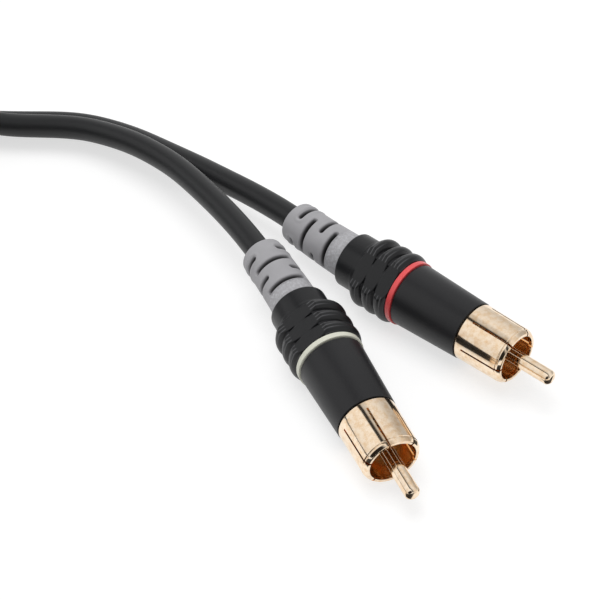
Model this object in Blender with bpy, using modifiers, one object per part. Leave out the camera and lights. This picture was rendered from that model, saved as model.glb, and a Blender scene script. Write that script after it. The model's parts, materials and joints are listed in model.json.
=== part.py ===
"""A stereo phono lead: two cords side by side, with a white and a red phono plug at each end.

It lies on a table at Z = 0, with +Z up and +Y away from the viewer. The two near plugs lie with
their noses towards the viewer, and the origin is under the middle of them. The cords run off
to the left, where the rest of their length is wound into a tied coil with the far plugs beside it.
Every size in this file is in millimetres until MM turns it into metres.
"""

import math

import bmesh
import bpy
from mathutils import Matrix, Vector

MM = 0.001
FIT_GAP = 0.3  # left between two pieces that touch

# Along a plug, measured from the front edge of its colour ring and positive towards the tip
TIP = 33.8
MOUTH = 25.7
SLIT_REAR = 16.9
SLEEVE_SHOULDER = 15.4
SHELL_FRONT = 15.1
SHELL_REAR = 0.25
SLEEVE_REAR = 6.0
INSULATOR_FRONT = 16.3
INSULATOR_REAR = 8.3
SHELL_STUB_REAR = -8.0
RING_REAR = -1.05
NUT_FRONT = -1.3
COLLAR_REAR = -10.6
NUT_REAR = -15.0
BOOT_FLANGE_FRONT = -9.2
BOOT_FLANGE_REAR = -10.4
BOOT_REAR = -31.1

# Outer radii along the same plug
PIN_RADIUS = 1.45
MOUTH_RADIUS = 5.02
LIP_RADIUS = 5.56
SLEEVE_RADIUS = 5.78
SHELL_FRONT_RADIUS = 5.86
SHELL_REAR_RADIUS = 6.4
RING_RADIUS = 6.65
RIB_RADIUS = 7.3
PAD_FRONT_RADIUS = 6.4
NUT_REAR_RADIUS = 5.66
BOOT_FRONT_RADIUS = 4.7
BOOT_REAR_RADIUS = 4.3
FLANGE_RADIUS = 5.2

# Inner radii
SLEEVE_LIP_BORE = 4.5
SLEEVE_BORE = 4.95
NECK_RADIUS = 4.95
NECK_BORE = 4.2
STUB_RADIUS = 5.0
STUB_BORE = 4.2
NUT_BORE = 5.5
NUT_MOUTH = 5.0

# Repeated features
SLITS = 6
SLIT_WIDTH = 0.4
RIBS = 3
RIB_PITCH = 3.1
RIB_WIDTH = 2.4
GROOVE_RADIUS = 6.1
PAD_HALF_ANGLE = 22
BOOT_SLOTS = [-19.2, -22.2, -25.2, -28.2]
BOOT_SLOT_WIDTH = 1.0
BOOT_SLOT_ARC = 116
BOOT_SLOT_FLOOR = 3.4
BEND_START = -15.0

# The cord
CORD_WIDTH = 5.1
CORD_BORE = CORD_WIDTH / 2 + FIT_GAP
JACKET_END = -1.5
TUBE_STEP = 11.0  # between the points of a tube
END_LENGTH = 2.5  # the straight at each end of a tube, which keeps its end face square

# Where each plug lies: the middle of its colour ring's front edge, the turn of its nose clockwise
# from +X, the dip of its nose, the turns of its slits, grip pads and boot slots from straight up,
# how far its boot's end bends aside, and the sides on its round pieces
PLUGS = {
    "near_white": dict(at=(-12.0, -6.0, 7.17), nose=65.8, dip=3.63, slits=12, pads=34, slots=11, aside=0.63, sides=20),
    "near_red": dict(at=(3.65, 12.6, 7.3), nose=43.4, dip=0, slits=27, pads=45, slots=60, aside=-0.92, sides=20),
    "far_white": dict(at=(-103.0, -38.4, 7.2), nose=38, dip=3.63, slits=0, pads=20, slots=20, aside=0, sides=12),
    "far_red": dict(at=(-119.4, -55.1, 7.2), nose=48, dip=3.63, slits=20, pads=15, slots=60, aside=0, sides=12),
}

# The cords' routes, chosen by hand: out of the near boots, over the table and into the coil
NEAR_WHITE_ROUTE = [
    (-25.3, 22.05, 9.14),
    (-28.8, 28.6, 9.3),
    (-33.35, 36.3, 9.1),
    (-37.95, 43.45, 8.7),
    (-42.8, 50.5, 8.2),
    (-47.6, 55.95, 7.75),
    (-53.6, 61.4, 7.2),
    (-59.8, 65.8, 6.3),
    (-65.2, 68.6, 5.7),
    (-71.5, 69.8, 5.35),
    (-79.3, 70.0, 5.4),
    (-84.6, 70.3, 5.75),
    (-88.7, 70.97, 6.65),
    (-92.8, 72.1, 7.85),
    (-96.9, 73.45, 8.75),
    (-101.0, 74.5, 9.17),
    (-105.1, 74.9, 9.25),
]
NEAR_RED_ROUTE = [
    (-18.31, 34.64, 7.3),
    (-22.4, 38.9, 7.25),
    (-28.4, 44.8, 6.75),
    (-32.9, 49.0, 6.2),
    (-39.0, 54.8, 5.4),
    (-47.0, 61.7, 4.5),
    (-53.2, 66.9, 3.85),
    (-59.4, 70.9, 3.3),
    (-65.1, 73.6, 2.9),
    (-70.3, 74.6, 2.75),
    (-80.2, 74.9, 2.6),
    (-88.7, 74.9, 2.85),
    (-96.9, 74.9, 3.5),
    (-101.4, 74.9, 3.8),
    (-105.1, 74.9, 3.85),
]
# And out of the coil to the far boots
FAR_WHITE_ROUTE = [
    (-156.8, 17.1, 20.05),
    (-156.8, 13.1, 20.05),
    (-154.4, 5.0, 18.9),
    (-149.0, -2.8, 16.2),
    (-142.0, -9.5, 12.9),
    (-134.3, -14.9, 10.2),
    (-127.46, -19.29, 9.17),
]
FAR_RED_ROUTE = [
    (-156.8, 17.1, 14.65),
    (-156.8, 13.1, 14.6),
    (-156.6, 5.0, 13.2),
    (-156.2, -3.6, 11.3),
    (-154.3, -12.6, 10.0),
    (-150.4, -20.4, 9.4),
    (-145.3, -26.6, 9.3),
    (-140.17, -32.03, 9.17),
]

# The coil: three turns' widths across and four cords high, on the strap that ties it
COIL_CENTRE = (-125.4, 43.5)
TURN_PITCH = CORD_WIDTH + FIT_GAP
COIL_INNER_TURN = 20.6
COIL_OUTER_TURN = COIL_INNER_TURN + 2 * TURN_PITCH
STRAP_THICKNESS = 1.0
COIL_BOTTOM = STRAP_THICKNESS + FIT_GAP
COIL_LEVELS = [COIL_BOTTOM + CORD_WIDTH / 2 + level * TURN_PITCH for level in range(4)]
COIL_TOP = COIL_LEVELS[-1] + CORD_WIDTH / 2
COIL_CORNER = 1.5
STUB_IN = 20.0  # the stretch over which the cords come up to the coil's side
STUB_OUT = 26.1
STRAP_WIDTH = 8.0
STRAP_TAIL = 11.0

FINISHES = {  # colour, metallic, roughness
    "gold": ((0.83, 0.58, 0.26), 1.0, 0.16),
    "white nylon": ((0.85, 0.85, 0.82), 0.0, 0.5),
    "black shell": ((0.028, 0.029, 0.031), 0.0, 0.42),
    "black grip": ((0.026, 0.027, 0.029), 0.0, 0.5),
    "white ring": ((0.72, 0.72, 0.62), 0.0, 0.4),
    "red ring": ((0.74, 0.07, 0.07), 0.0, 0.4),
    "grey rubber": ((0.34, 0.34, 0.35), 0.0, 0.62),
    "copper": ((0.8, 0.4, 0.22), 1.0, 0.3),
    "cord jacket": ((0.024, 0.026, 0.027), 0.0, 0.5),
    "strap": ((0.03, 0.03, 0.03), 0.0, 0.9),
}


def clear_scene():
    for old in list(bpy.data.objects):
        bpy.data.objects.remove(old, do_unlink=True)
    for name in ("phono_lead", "cutters"):
        if name in bpy.data.collections:
            bpy.data.collections.remove(bpy.data.collections[name])


def new_collection(name):
    collection = bpy.data.collections.new(name)
    bpy.context.scene.collection.children.link(collection)
    return collection


def give_finish(piece, finish):
    colour, metallic, roughness = FINISHES[finish]
    material = bpy.data.materials.new(f"{piece.name} {finish}")
    material.use_nodes = True
    shader = material.node_tree.nodes["Principled BSDF"]
    shader.inputs["Base Color"].default_value = (*colour, 1)
    shader.inputs["Metallic"].default_value = metallic
    shader.inputs["Roughness"].default_value = roughness
    material.diffuse_color = (*colour, 1)
    piece.data.materials.append(material)


def turned(name, outline, sides, parent, collection):
    """A turned piece about its parent's Z axis, from (radius, station) points.

    The outline runs down the outer side from the tip, and back up the bore. One that starts and
    ends on the axis has no bore.
    """
    bored = outline[0][0] > 0
    mesh = bpy.data.meshes.new(name)
    points = [(radius * MM, 0, station * MM) for radius, station in outline]
    edges = [(i, i + 1) for i in range(len(points) - 1)]
    if bored:
        edges.append((len(points) - 1, 0))
    mesh.from_pydata(points, edges, [])
    piece = bpy.data.objects.new(name, mesh)
    collection.objects.link(piece)
    piece.parent = parent
    screw = piece.modifiers.new("Turned", "SCREW")
    screw.steps = sides
    screw.render_steps = sides
    screw.use_merge_vertices = True
    screw.merge_threshold = 0.00001
    return piece


def settle(piece):
    """Turn a piece with modifiers into a plain mesh."""
    bpy.context.view_layer.update()
    evaluated = piece.evaluated_get(bpy.context.evaluated_depsgraph_get())
    mesh = bpy.data.meshes.new_from_object(evaluated)
    piece.modifiers.clear()
    piece.data = mesh


def cut(piece, cutter):
    cutter.hide_render = True
    cutter.display_type = "WIRE"
    boolean = piece.modifiers.new("Cut", "BOOLEAN")
    boolean.operation = "DIFFERENCE"
    boolean.object = cutter


def smooth(piece, angle=35):
    piece.data.shade_smooth()
    piece.data.set_sharp_from_angle(angle=math.radians(angle))


def new_cutter(name, mesh, parent):
    data = bpy.data.meshes.new(name)
    bmesh.ops.recalc_face_normals(mesh, faces=mesh.faces)
    mesh.to_mesh(data)
    mesh.free()
    cutter = bpy.data.objects.new(name, data)
    CUTTERS.objects.link(cutter)
    cutter.parent = parent
    return cutter


def plug_axes(name):
    """The empty that carries a plug: Z towards the tip, X up, at the colour ring's front edge."""
    place = PLUGS[name]
    axes = bpy.data.objects.new(f"{name}_axes", None)
    PARTS.objects.link(axes)
    axes.matrix_world = (
        Matrix.Translation(Vector(place["at"]) * MM)
        @ Matrix.Rotation(-math.radians(place["nose"]), 4, "Z")
        @ Matrix.Rotation(math.radians(90 + place["dip"]), 4, "Y")
        @ Matrix.Rotation(math.pi, 4, "Z")
    )
    return axes


def pin(name, axes, sides):
    """The centre contact: a brass pin with a blunt tip, a waist in the insulator and a solder cup."""
    waist = PIN_RADIUS - FIT_GAP
    cup_bore = 0.8
    outline = [
        (0, TIP),
        (0.6, TIP - 0.05),
        (1.1, TIP - 0.3),
        (PIN_RADIUS, TIP - 0.9),
        (PIN_RADIUS, INSULATOR_FRONT + FIT_GAP),
        (waist, INSULATOR_FRONT + FIT_GAP),
        (waist, INSULATOR_REAR - FIT_GAP),
        (PIN_RADIUS, INSULATOR_REAR - FIT_GAP),
        (PIN_RADIUS, INSULATOR_REAR - 3.6),
        (cup_bore, INSULATOR_REAR - 3.6),
        (cup_bore, INSULATOR_REAR - 1.0),
        (0, INSULATOR_REAR - 1.0),
    ]
    piece = turned(f"{name}_pin", outline, sides * 2 // 3, axes, PARTS)
    give_finish(piece, "gold")


def insulator(name, axes, sides):
    """The bush that holds the pin in the middle of the sleeve."""
    outer = NECK_BORE - FIT_GAP
    outline = [
        (PIN_RADIUS, INSULATOR_FRONT),
        (outer, INSULATOR_FRONT),
        (outer, INSULATOR_REAR),
        (PIN_RADIUS, INSULATOR_REAR),
    ]
    piece = turned(f"{name}_insulator", outline, sides * 2 // 3, axes, PARTS)
    give_finish(piece, "white nylon")


def sleeve(name, axes, sides):
    """The outer contact: turned brass, slit into six fingers that grip the socket's barrel."""
    outline = [
        (SLEEVE_LIP_BORE, MOUTH),
        (MOUTH_RADIUS, MOUTH),
        (5.36, MOUTH - 0.25),
        (LIP_RADIUS, MOUTH - 0.95),
        (SLEEVE_RADIUS, SLEEVE_SHOULDER),
        (NECK_RADIUS, SLEEVE_SHOULDER),
        (NECK_RADIUS, SLEEVE_REAR),
        (NECK_BORE, SLEEVE_REAR),
        (NECK_BORE, INSULATOR_FRONT),
        (SLEEVE_BORE, INSULATOR_FRONT),
        (SLEEVE_BORE, MOUTH - 1.1),
        (SLEEVE_LIP_BORE, MOUTH - 0.7),
    ]
    piece = turned(f"{name}_sleeve", outline, sides, axes, PARTS)
    blades = bmesh.new()
    inside, outside = SLEEVE_LIP_BORE - 1, SLEEVE_RADIUS + 1
    length = MOUTH + 1 - SLIT_REAR
    for slit in range(SLITS):
        turn = math.radians(PLUGS[name]["slits"] + slit * 360 / SLITS)
        place = (
            Matrix.Rotation(turn, 4, "Z")
            @ Matrix.Translation(Vector(((inside + outside) / 2, 0, SLIT_REAR + length / 2)) * MM)
            @ Matrix.Diagonal(Vector((outside - inside, SLIT_WIDTH, length)) * MM).to_4x4()
        )
        bmesh.ops.create_cube(blades, size=1, matrix=place)
    cut(piece, new_cutter(f"{name}_slits", blades, axes))
    settle(piece)
    smooth(piece)
    give_finish(piece, "gold")


def shell(name, axes, sides):
    """The black housing: a tapered barrel, with a stub behind that the grip nut screws on."""
    edge = 0.15
    outline = [
        (NECK_RADIUS + FIT_GAP, SHELL_FRONT),
        (SHELL_FRONT_RADIUS - edge, SHELL_FRONT),
        (SHELL_FRONT_RADIUS, SHELL_FRONT - edge),
        (SHELL_REAR_RADIUS, SHELL_REAR + edge),
        (SHELL_REAR_RADIUS - edge, SHELL_REAR),
        (STUB_RADIUS, SHELL_REAR),
        (STUB_RADIUS, SHELL_STUB_REAR),
        (STUB_BORE, SHELL_STUB_REAR),
        (STUB_BORE, SLEEVE_REAR - 2 * FIT_GAP),
        (NECK_RADIUS + FIT_GAP, SLEEVE_REAR - 2 * FIT_GAP),
    ]
    piece = turned(f"{name}_shell", outline, sides, axes, PARTS)
    give_finish(piece, "black shell")


def colour_ring(name, axes, sides):
    """The ring that tells the channel, trapped between the shell and the grip nut."""
    edge = 0.15
    outline = [
        (STUB_RADIUS + FIT_GAP, 0),
        (RING_RADIUS - edge, 0),
        (RING_RADIUS, -edge),
        (RING_RADIUS, RING_REAR + edge),
        (RING_RADIUS - edge, RING_REAR),
        (STUB_RADIUS + FIT_GAP, RING_REAR),
    ]
    piece = turned(f"{name}_ring", outline, sides, axes, PARTS)
    give_finish(piece, "white ring" if name.endswith("white") else "red ring")


def cone_radius(station):
    """The smooth cone of the grip nut's pads, from its plain rear to its front edge."""
    share = (station - COLLAR_REAR) / (NUT_FRONT - COLLAR_REAR)
    return NUT_REAR_RADIUS + share * (PAD_FRONT_RADIUS - NUT_REAR_RADIUS)


def grip_nut(name, axes, sides):
    """The nut that clamps the cord: ribbed for the fingers, but smooth on two opposite pads."""
    half = RIB_WIDTH / 2
    ribs = []
    for rib in range(RIBS):
        middle = NUT_FRONT - half - rib * RIB_PITCH
        ribs += [
            (RIB_RADIUS - 0.3, middle + half),
            (RIB_RADIUS, middle + half / 2),
            (RIB_RADIUS, middle - half / 2),
            (GROOVE_RADIUS, middle - half),
        ]
        if rib < RIBS - 1:
            ribs.append((GROOVE_RADIUS, middle + half - RIB_PITCH))
    rear_edge = 0.3
    outline = [
        (NUT_BORE, NUT_FRONT),
        *ribs,
        (NUT_REAR_RADIUS, COLLAR_REAR),
        (NUT_REAR_RADIUS, NUT_REAR + rear_edge),
        (NUT_REAR_RADIUS - rear_edge, NUT_REAR),
        (NUT_MOUTH, NUT_REAR),
        (NUT_MOUTH, BOOT_FLANGE_REAR - FIT_GAP),
        (NUT_BORE, BOOT_FLANGE_REAR - FIT_GAP),
    ]
    piece = turned(f"{name}_nut", outline, sides, axes, PARTS)
    settle(piece)
    for vertex in piece.data.vertices:
        x, y, z = vertex.co / MM
        radius = math.hypot(x, y)
        turn = (math.degrees(math.atan2(y, x)) - PLUGS[name]["pads"]) % 180
        if radius > NUT_BORE + 0.2 and z > COLLAR_REAR and min(turn, 180 - turn) < PAD_HALF_ANGLE:
            vertex.co.x *= cone_radius(z) / radius
            vertex.co.y *= cone_radius(z) / radius
    smooth(piece)
    give_finish(piece, "black grip")


def chuck(name, axes, sides):
    """The split clamp that the nut squeezes on the cord."""
    head = 4.9
    head_front = SHELL_STUB_REAR - FIT_GAP
    body = STUB_BORE - FIT_GAP
    outline = [
        (CORD_BORE, -2.0),
        (body, -2.0),
        (body, head_front),
        (head, head_front),
        (head, BOOT_FLANGE_FRONT + FIT_GAP),
        (CORD_BORE, BOOT_FLANGE_FRONT + FIT_GAP),
    ]
    piece = turned(f"{name}_chuck", outline, sides * 2 // 3, axes, PARTS)
    blade = bmesh.new()
    place = Matrix.Translation(Vector((4.2, 0, -5.5)) * MM) @ Matrix.Diagonal(
        Vector((4.0, 0.6, 10.0)) * MM
    ).to_4x4()
    bmesh.ops.create_cube(blade, size=1, matrix=place)
    cut(piece, new_cutter(f"{name}_chuck_slit", blade, axes))
    settle(piece)
    give_finish(piece, "white nylon")


def bend(piece, aside):
    """Bend what lies behind the nut aside, along an arc that starts at the nut's rear."""
    reach = BEND_START - BOOT_REAR
    for vertex in piece.data.vertices:
        back = BEND_START - vertex.co.z / MM
        if back > 0:
            turn = 2 * aside * back / reach**2
            sideways = vertex.co.y / MM
            vertex.co.y = (aside * (back / reach) ** 2 + sideways * math.cos(turn)) * MM
            vertex.co.z += sideways * math.sin(turn) * MM


def boot(name, axes, sides):
    """The grey rubber strain relief, slotted so that it bends with the cord."""
    edge = 0.9
    stations = [BEND_START, -20.0, -25.0]
    outline = [
        (CORD_BORE, BOOT_FLANGE_FRONT),
        (FLANGE_RADIUS, BOOT_FLANGE_FRONT),
        (FLANGE_RADIUS, BOOT_FLANGE_REAR),
        (BOOT_FRONT_RADIUS, BOOT_FLANGE_REAR),
        (BOOT_FRONT_RADIUS, NUT_REAR),
        (BOOT_REAR_RADIUS, BOOT_REAR + edge),
        (BOOT_REAR_RADIUS - 0.25, BOOT_REAR + 0.3),
        (BOOT_REAR_RADIUS - edge, BOOT_REAR),
        (CORD_BORE, BOOT_REAR),
        *[(CORD_BORE, station) for station in reversed(stations)],
    ]
    piece = turned(f"{name}_boot", outline, sides * 5 // 6, axes, PARTS)
    blades = bmesh.new()
    outside = BOOT_FRONT_RADIUS + 1
    half = BOOT_SLOT_WIDTH / 2
    for row, station in enumerate(BOOT_SLOTS):
        for side in (0, 180):
            start = math.radians(PLUGS[name]["slots"] + side + 90 * row - BOOT_SLOT_ARC / 2)
            corners = [
                (radius * math.cos(start) * MM, radius * math.sin(start) * MM, height * MM)
                for radius, height in (
                    (BOOT_SLOT_FLOOR, station - half),
                    (outside, station - half),
                    (outside, station + half),
                    (BOOT_SLOT_FLOOR, station + half),
                )
            ]
            face = blades.faces.new([blades.verts.new(corner) for corner in corners])
            bmesh.ops.spin(
                blades,
                geom=[face, *face.edges, *face.verts],
                axis=(0, 0, 1),
                angle=math.radians(BOOT_SLOT_ARC),
                steps=5,
            )
    cut(piece, new_cutter(f"{name}_boot_slots", blades, axes))
    settle(piece)
    bend(piece, PLUGS[name]["aside"])
    smooth(piece)
    give_finish(piece, "grey rubber")


def cable_end(name, axes, sides):
    """The cord's prepared end inside the plug: jacket, then the bared core, then its conductor."""
    jacket = CORD_WIDTH / 2
    core = 1.4
    conductor = 0.5
    core_end = INSULATOR_REAR - 4.2
    conductor_end = INSULATOR_REAR - 1.3
    outline = [
        (0, conductor_end),
        (conductor, conductor_end),
        (conductor, core_end),
        (core, core_end),
        (core, JACKET_END),
        (jacket, JACKET_END),
        (jacket, BEND_START),
        (jacket, -20.0),
        (jacket, -25.0),
        (jacket, BOOT_REAR + 0.1),
        (0, BOOT_REAR + 0.1),
    ]
    piece = turned(f"{name}_cable_end", outline, sides // 2, axes, PARTS)
    settle(piece)
    bend(piece, PLUGS[name]["aside"])
    smooth(piece)
    give_finish(piece, "cord jacket")


def phono_plug(name):
    axes = plug_axes(name)
    sides = PLUGS[name]["sides"]
    for make in (pin, insulator, sleeve, shell, colour_ring, grip_nut, chuck, boot, cable_end):
        make(name, axes, sides)


def smooth_curve(route, step):
    """Points about a step apart on a smooth curve through a route's own points."""
    points = [Vector(point) for point in route]
    ends = [2 * points[0] - points[1], *points, 2 * points[-1] - points[-2]]
    fine = []
    for before, start, end, after in zip(ends, ends[1:], ends[2:], ends[3:]):
        for part in range(20):
            t = part / 20
            fine.append(
                0.5
                * (
                    2 * start
                    + (end - before) * t
                    + (2 * before - 5 * start + 4 * end - after) * t**2
                    + (3 * start - before - 3 * end + after) * t**3
                )
            )
    fine.append(points[-1])
    runs = [0.0]
    for here, there in zip(fine, fine[1:]):
        runs.append(runs[-1] + (there - here).length)
    count = max(2, round(runs[-1] / step))
    chosen, place = [], 0
    for number in range(count + 1):
        target = runs[-1] * number / count
        while place < len(runs) - 2 and runs[place + 1] < target:
            place += 1
        share = (target - runs[place]) / (runs[place + 1] - runs[place])
        chosen.append(fine[place].lerp(fine[place + 1], share))
    return chosen


def cord_run(name, route, start_gap, end_gap):
    """One stretch of cord that isn't coiled: a tube along its route, a gap short of what it meets."""
    points = smooth_curve(route, TUBE_STEP)
    out = (Vector(route[1]) - Vector(route[0])).normalized()
    back = (Vector(route[-2]) - Vector(route[-1])).normalized()
    points[0] += out * start_gap
    points[-1] += back * end_gap
    points.insert(1, points[0] + out * END_LENGTH)
    points.insert(-1, points[-1] + back * END_LENGTH)
    curve = bpy.data.curves.new(name, "CURVE")
    curve.dimensions = "3D"
    curve.bevel_depth = CORD_WIDTH / 2 * MM
    curve.bevel_resolution = 2
    curve.use_fill_caps = True
    spline = curve.splines.new("POLY")
    spline.points.add(len(points) - 1)
    for target, point in zip(spline.points, points):
        target.co = (*(point * MM), 1)
    piece = bpy.data.objects.new(name, curve)
    PARTS.objects.link(piece)
    give_finish(piece, "cord jacket")


def box_cutter(name, low, high):
    """A plain block between two corners, to be joined to another piece."""
    block = bmesh.new()
    middle = (Vector(low) + Vector(high)) / 2
    size = Vector(high) - Vector(low)
    bmesh.ops.create_cube(
        block,
        size=1,
        matrix=Matrix.Translation(middle * MM) @ Matrix.Diagonal(size * MM).to_4x4(),
    )
    return new_cutter(name, block, None)


def coil():
    """The outer shape of the wound cords, with the stubs where they come in and go out."""
    centre = bpy.data.objects.new("coil_axes", None)
    PARTS.objects.link(centre)
    centre.matrix_world = Matrix.Translation(Vector((*COIL_CENTRE, 0)) * MM)
    inner = COIL_INNER_TURN - CORD_WIDTH / 2
    outer = COIL_OUTER_TURN + CORD_WIDTH / 2
    corner = COIL_CORNER
    outline = [
        (inner + corner, COIL_TOP),
        (outer - corner, COIL_TOP),
        (outer, COIL_TOP - corner),
        (outer, COIL_BOTTOM + corner),
        (outer - corner, COIL_BOTTOM),
        (inner + corner, COIL_BOTTOM),
        (inner, COIL_BOTTOM + corner),
        (inner, COIL_TOP - corner),
    ]
    piece = turned("coil", outline, 40, centre, PARTS)
    x, y = COIL_CENTRE
    half = CORD_WIDTH / 2
    y_in = y + COIL_OUTER_TURN
    x_out = x - COIL_OUTER_TURN
    stubs = [
        box_cutter(
            "coil_way_in",
            (x, y_in - half, COIL_LEVELS[0] - half),
            (x + STUB_IN, y_in + half, COIL_LEVELS[1] + half),
        ),
        box_cutter(
            "coil_way_out",
            (x_out - half, y - STUB_OUT, COIL_LEVELS[2] - half),
            (x_out + half, y, COIL_LEVELS[3] + half - 0.05),
        ),
    ]
    for stub in stubs:
        stub.hide_render = True
        stub.display_type = "WIRE"
        join = piece.modifiers.new("Join", "BOOLEAN")
        join.operation = "UNION"
        join.object = stub
    settle(piece)
    smooth(piece)
    give_finish(piece, "cord jacket")


def rounded_box(width, height, middle, corner, points_per_corner=4):
    """The corners of a rounded rectangle about a middle, in order."""
    outline = []
    for quarter, (sx, sy) in enumerate(((1, 1), (-1, 1), (-1, -1), (1, -1))):
        centre = (middle[0] + sx * (width / 2 - corner), middle[1] + sy * (height / 2 - corner))
        for number in range(points_per_corner + 1):
            turn = math.radians(90 * (quarter + number / points_per_corner))
            outline.append((centre[0] + corner * math.cos(turn), centre[1] + corner * math.sin(turn)))
    return outline


def strap():
    """The hook-and-loop strap round the coil's turns, its tail lapped over its outer side."""
    inside = math.sqrt((COIL_INNER_TURN - CORD_WIDTH / 2) ** 2 - (STRAP_WIDTH / 2) ** 2) - FIT_GAP
    outside = COIL_OUTER_TURN + CORD_WIDTH / 2 + FIT_GAP
    width, height = outside - inside, COIL_TOP - COIL_BOTTOM + 2 * FIT_GAP
    middle = ((inside + outside) / 2, (COIL_TOP + COIL_BOTTOM) / 2)
    curve = bpy.data.curves.new("strap", "CURVE")
    curve.dimensions = "2D"
    curve.fill_mode = "BOTH"
    curve.extrude = STRAP_WIDTH / 2 * MM
    thick = 2 * STRAP_THICKNESS
    outer_line = rounded_box(width + thick, height + thick, middle, 2.2)
    tail_face = middle[0] + width / 2 + STRAP_THICKNESS
    lap = [
        (tail_face, middle[1] - STRAP_TAIL / 2),
        (tail_face + STRAP_THICKNESS, middle[1] - STRAP_TAIL / 2 + STRAP_THICKNESS),
        (tail_face + STRAP_THICKNESS, middle[1] + STRAP_TAIL / 2),
        (tail_face, middle[1] + STRAP_TAIL / 2),
    ]
    for line in (lap + outer_line, rounded_box(width, height, middle, 1.2)):
        spline = curve.splines.new("POLY")
        spline.points.add(len(line) - 1)
        spline.use_cyclic_u = True
        for target, (across, up) in zip(spline.points, line):
            target.co = (across * MM, up * MM, 0, 1)
    piece = bpy.data.objects.new("strap", curve)
    PARTS.objects.link(piece)
    piece.matrix_world = Matrix.Translation(Vector((*COIL_CENTRE, 0)) * MM) @ Matrix.Rotation(
        math.pi / 2, 4, "X"
    )
    give_finish(piece, "strap")


clear_scene()
PARTS = new_collection("phono_lead")
CUTTERS = new_collection("cutters")
for plug_name in PLUGS:
    phono_plug(plug_name)
cord_run("near_white_cord", NEAR_WHITE_ROUTE, FIT_GAP, 0)
cord_run("near_red_cord", NEAR_RED_ROUTE, FIT_GAP, 0)
cord_run("far_white_cord", FAR_WHITE_ROUTE, 0, FIT_GAP)
cord_run("far_red_cord", FAR_RED_ROUTE, 0, FIT_GAP)
coil()
strap()
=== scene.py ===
import json
import math

import bmesh
import bpy
import numpy as np
from mathutils import Matrix, Vector


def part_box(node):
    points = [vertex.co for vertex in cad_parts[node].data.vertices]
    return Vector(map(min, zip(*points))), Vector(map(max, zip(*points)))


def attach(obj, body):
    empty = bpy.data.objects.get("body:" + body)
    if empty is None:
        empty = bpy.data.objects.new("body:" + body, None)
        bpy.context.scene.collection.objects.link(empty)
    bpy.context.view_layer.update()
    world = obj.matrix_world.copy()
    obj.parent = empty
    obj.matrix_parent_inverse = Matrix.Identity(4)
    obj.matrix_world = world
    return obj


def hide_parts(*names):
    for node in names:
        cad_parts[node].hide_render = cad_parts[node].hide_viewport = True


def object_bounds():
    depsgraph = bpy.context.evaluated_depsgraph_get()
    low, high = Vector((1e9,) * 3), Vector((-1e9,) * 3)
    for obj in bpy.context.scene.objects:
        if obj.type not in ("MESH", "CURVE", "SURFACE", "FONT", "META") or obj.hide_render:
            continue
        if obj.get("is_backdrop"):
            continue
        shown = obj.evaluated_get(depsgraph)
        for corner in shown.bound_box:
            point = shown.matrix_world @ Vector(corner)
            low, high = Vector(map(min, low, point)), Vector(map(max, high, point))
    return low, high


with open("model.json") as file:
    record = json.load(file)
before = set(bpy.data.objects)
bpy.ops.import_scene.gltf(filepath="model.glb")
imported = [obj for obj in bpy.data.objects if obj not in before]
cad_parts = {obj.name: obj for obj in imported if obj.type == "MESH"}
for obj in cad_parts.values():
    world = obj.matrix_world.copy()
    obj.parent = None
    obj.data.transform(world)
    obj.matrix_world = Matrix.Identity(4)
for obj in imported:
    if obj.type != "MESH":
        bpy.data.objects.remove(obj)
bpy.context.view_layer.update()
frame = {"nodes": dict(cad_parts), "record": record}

# Camera
# It looks down over the noses of the two near plugs. The image is square, and the coil and the
# far plugs lie outside it on the left.
MM = 0.001


def new_object(name, data):
    made = bpy.data.objects.new(name, data)
    bpy.context.scene.collection.objects.link(made)
    return made


camera_data = bpy.data.cameras.new("camera")
camera_data.sensor_width = 36
camera_data.lens = 101.37
camera_data.clip_start = 0.01
camera = new_object("camera", camera_data)
camera.location = Vector((-17.8, -229.8, 224.7)) * MM
looks_at = Vector((-17.8, 18.5, 0.5)) * MM
camera.rotation_euler = (looks_at - camera.location).to_track_quat("-Z", "Y").to_euler()
bpy.context.scene.camera = camera

# The two cords
# A siamese lead: two stranded, shielded cores in black PVC jackets, extruded side by side with a
# thin web between them. The web is torn open before each pair of plugs. Sizes are in mm.
CORD_WIDTH = 5.1
TURN_PITCH = 5.4
CORD_SIDES = 40
CORD_GIRTH = 16  # round the jacket, for its pattern
CORD_STEP = 1.2
LINE_EASINGS = 10
WEB_THICKNESS = 0.9
WEB_HOLDS_TO = TURN_PITCH + 0.9  # past this spacing the web is torn
WEB_TEAR = 0.6
WEB_LAP = 0.03
RIDGE = 0.1  # what the torn web leaves standing on each jacket
RIDGE_FADES_FROM = 8
RIDGE_FADES_OVER = 6
INTO_BOOT = 1.5

NEAR_WHITE_ROUTE = [
    (-25.3, 22.05, 9.14),
    (-28.8, 28.6, 9.3),
    (-33.35, 36.3, 9.1),
    (-37.95, 43.45, 8.7),
    (-42.8, 50.5, 8.2),
    (-47.6, 55.95, 7.75),
    (-53.6, 61.4, 7.2),
    (-59.8, 65.8, 6.3),
    (-65.2, 68.6, 5.7),
    (-71.5, 69.8, 5.35),
    (-79.3, 70.0, 5.4),
    (-84.6, 70.3, 5.75),
    (-88.7, 70.97, 6.65),
    (-92.8, 72.1, 7.85),
    (-96.9, 73.45, 8.75),
    (-101.0, 74.5, 9.17),
    (-105.1, 74.9, 9.25),
]
NEAR_RED_ROUTE = [
    (-18.31, 34.64, 7.3),
    (-22.4, 38.9, 7.25),
    (-28.4, 44.8, 6.75),
    (-32.9, 49.0, 6.2),
    (-39.0, 54.8, 5.4),
    (-47.0, 61.7, 4.5),
    (-53.2, 66.9, 3.85),
    (-59.4, 70.9, 3.3),
    (-65.1, 73.6, 2.9),
    (-70.3, 74.6, 2.75),
    (-80.2, 74.9, 2.6),
    (-88.7, 74.9, 2.85),
    (-96.9, 74.9, 3.5),
    (-101.4, 74.9, 3.8),
    (-105.1, 74.9, 3.85),
]
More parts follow.
